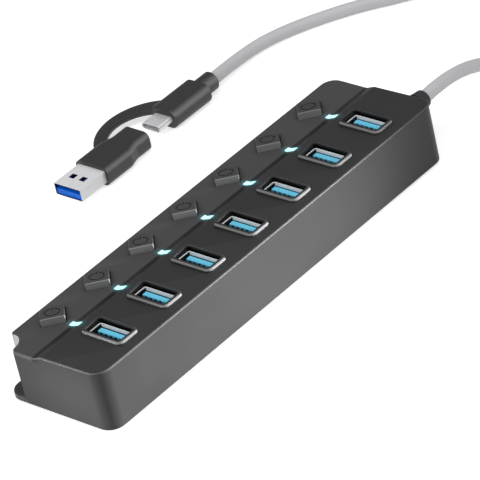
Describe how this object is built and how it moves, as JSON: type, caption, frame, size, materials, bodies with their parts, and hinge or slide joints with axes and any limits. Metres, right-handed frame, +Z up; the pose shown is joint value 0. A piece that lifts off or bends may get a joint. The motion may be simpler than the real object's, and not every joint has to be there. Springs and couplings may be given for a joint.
{
  "type": "usb hub",
  "caption": "Long bar-shaped powered USB hub with a row of top-facing USB-A ports, each with a light and a power button, a captive cable, a USB-C plug and a tethered USB-A adapter.",
  "frame": {"origin": "middle of the casing's footprint, on the surface that the rubber feet stand on", "axes": "+X across the casing towards the ports, +Y along the casing towards the cable, +Z up"},
  "size_m": [0.1201, 0.3109, 0.0232],
  "materials": {
    "top_shell": "dark grey, fine satin grain",
    "base_plate": "dark grey, satin",
    "screws": "zinc plated",
    "feet": "matt black",
    "pcb": "green solder mask",
    "port_shell": "bright plated steel",
    "port_tongue": "light blue moulding",
    "port_contacts": "gold plated",
    "button": "dark grey satin, engraved symbol",
    "light_pipe": "clear, lit blue green",
    "switches": "black nylon",
    "indicator_leds": "pale",
    "hub_chips": "black epoxy",
    "crystal": "metal can",
    "capacitors": "aluminium cans",
    "dc_jack_body": "black nylon",
    "dc_jack_pin": "nickel plated",
    "cable_boot": "dark grey, matt",
    "cable_tail": "light grey jacket",
    "cable_header": "white nylon",
    "cable": "light grey jacket, satin",
    "cable_tie": "black nylon strap",
    "type_c_boot": "dark grey, matt",
    "type_c_grip": "dark grey, satin",
    "type_c_shell": "bright plated steel",
    "type_c_insulator": "black moulding",
    "adapter_body": "dark grey, satin",
    "adapter_shell": "bright plated steel",
    "adapter_tongue": "blue moulding",
    "adapter_contacts": "gold plated",
    "adapter_socket": "plated steel",
    "adapter_socket_tongue": "black moulding",
    "strap": "dark grey, flexible"
  },
  "bodies": {
    "hub": {"top_shell": "top_shell", "base_plate": "base_plate", "screws": "screws", "feet": "feet", "pcb": "pcb", "port_shell_1": "port_shell", "port_shell_2": "port_shell", "port_shell_3": "port_shell", "port_shell_4": "port_shell", "port_shell_5": "port_shell", "port_shell_6": "port_shell", "port_shell_7": "port_shell", "port_tongue_1": "port_tongue", "port_tongue_2": "port_tongue", "port_tongue_3": "port_tongue", "port_tongue_4": "port_tongue", "port_tongue_5": "port_tongue", "port_tongue_6": "port_tongue", "port_tongue_7": "port_tongue", "port_contacts": "port_contacts", "light_pipe_1": "light_pipe", "light_pipe_2": "light_pipe", "light_pipe_3": "light_pipe", "light_pipe_4": "light_pipe", "light_pipe_5": "light_pipe", "light_pipe_6": "light_pipe", "light_pipe_7": "light_pipe", "switches": "switches", "indicator_leds": "indicator_leds", "hub_chips": "hub_chips", "crystal": "crystal", "capacitors": "capacitors", "dc_jack_body": "dc_jack_body", "dc_jack_pin": "dc_jack_pin", "cable_boot": "cable_boot", "cable_tail": "cable_tail", "cable_header": "cable_header", "cable_hub_run": "cable", "cable_coil": "cable", "cable_plug_run": "cable", "cable_tie": "cable_tie", "type_c_boot": "type_c_boot", "type_c_grip": "type_c_grip", "type_c_shell": "type_c_shell", "type_c_insulator": "type_c_insulator", "strap": "strap"},
    "power_button_1": {"button_1": "button"},
    "power_button_2": {"button_2": "button"},
    "power_button_3": {"button_3": "button"},
    "power_button_4": {"button_4": "button"},
    "power_button_5": {"button_5": "button"},
    "power_button_6": {"button_6": "button"},
    "power_button_7": {"button_7": "button"},
    "adapter": {"adapter_body": "adapter_body", "adapter_shell": "adapter_shell", "adapter_tongue": "adapter_tongue", "adapter_contacts": "adapter_contacts", "adapter_socket": "adapter_socket", "adapter_socket_tongue": "adapter_socket_tongue"}
  },
  "joints": [
    {"name": "button_1_press", "type": "slide", "parent": "hub", "child": "power_button_1", "axis": [0, 0, 1], "range_m": [-0.0012, 0], "stiffness_N_per_m": 1000, "springref_m": 0.0003},
    {"name": "button_2_press", "type": "slide", "parent": "hub", "child": "power_button_2", "axis": [0, 0, 1], "range_m": [-0.0012, 0], "stiffness_N_per_m": 1000, "springref_m": 0.0003},
    {"name": "button_3_press", "type": "slide", "parent": "hub", "child": "power_button_3", "axis": [0, 0, 1], "range_m": [-0.0012, 0], "stiffness_N_per_m": 1000, "springref_m": 0.0003},
    {"name": "button_4_press", "type": "slide", "parent": "hub", "child": "power_button_4", "axis": [0, 0, 1], "range_m": [-0.0012, 0], "stiffness_N_per_m": 1000, "springref_m": 0.0003},
    {"name": "button_5_press", "type": "slide", "parent": "hub", "child": "power_button_5", "axis": [0, 0, 1], "range_m": [-0.0012, 0], "stiffness_N_per_m": 1000, "springref_m": 0.0003},
    {"name": "button_6_press", "type": "slide", "parent": "hub", "child": "power_button_6", "axis": [0, 0, 1], "range_m": [-0.0012, 0], "stiffness_N_per_m": 1000, "springref_m": 0.0003},
    {"name": "button_7_press", "type": "slide", "parent": "hub", "child": "power_button_7", "axis": [0, 0, 1], "range_m": [-0.0012, 0], "stiffness_N_per_m": 1000, "springref_m": 0.0003},
    {"name": "adapter_slide", "type": "slide", "parent": "hub", "child": "adapter", "axis": [0, 1, 0], "range_m": [0, 0.0131], "deforming": ["strap"]}
  ]
}
